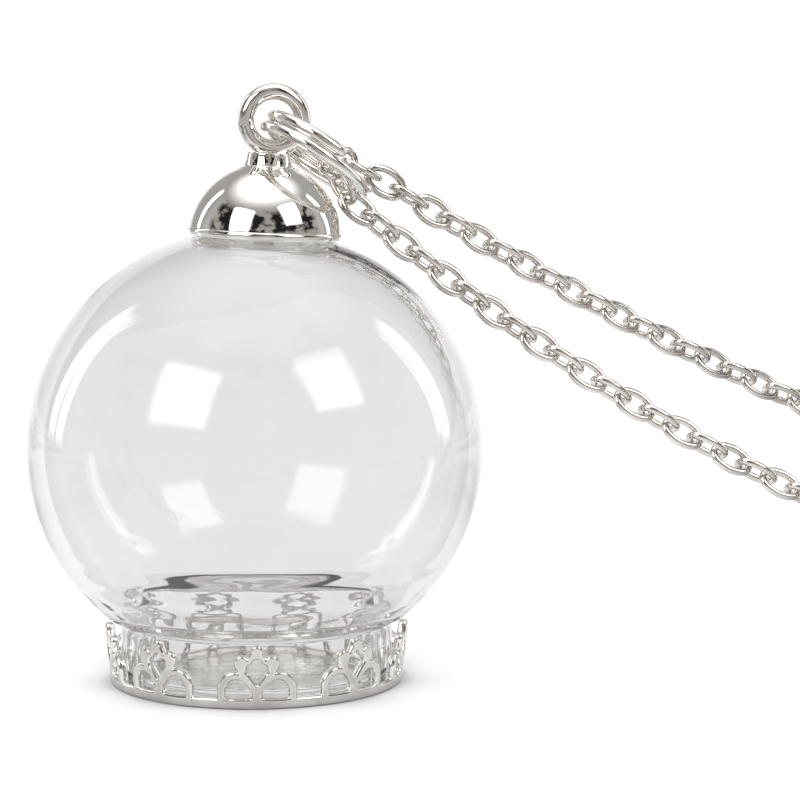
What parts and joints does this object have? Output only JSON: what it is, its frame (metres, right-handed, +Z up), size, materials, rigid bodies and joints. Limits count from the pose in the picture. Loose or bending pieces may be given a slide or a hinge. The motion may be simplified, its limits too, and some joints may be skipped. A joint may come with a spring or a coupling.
{
  "type": "glass ball pendant necklace",
  "caption": "Hollow glass ball pendant on a pierced crown tray, with a domed cap, eye and split ring on a closed cable chain with a barrel clasp.",
  "frame": {"origin": "centre of the crown tray's flat underside, on the surface that the pendant stands on", "axes": "+Z up through the glass ball, +X to the side that the chain runs to, -Y towards the viewer of the picture"},
  "size_m": [0.2221, 0.0657, 0.0394],
  "materials": {
    "clear_glass": "clear, polished blown glass",
    "crown_silver": "silver-plated casting, satin with bright edges",
    "cap_silver": "bright silver plating",
    "ring_silver": "bright silver plating",
    "chain_silver": "bright silver-plated wire",
    "clasp_silver": "bright silver plating"
  },
  "bodies": {
    "root": {"glass_globe": "clear_glass", "crown_base": "crown_silver", "dome_cap": "cap_silver", "split_ring": "ring_silver", "chain": "chain_silver", "clasp": "clasp_silver"}
  },
  "joints": []
}
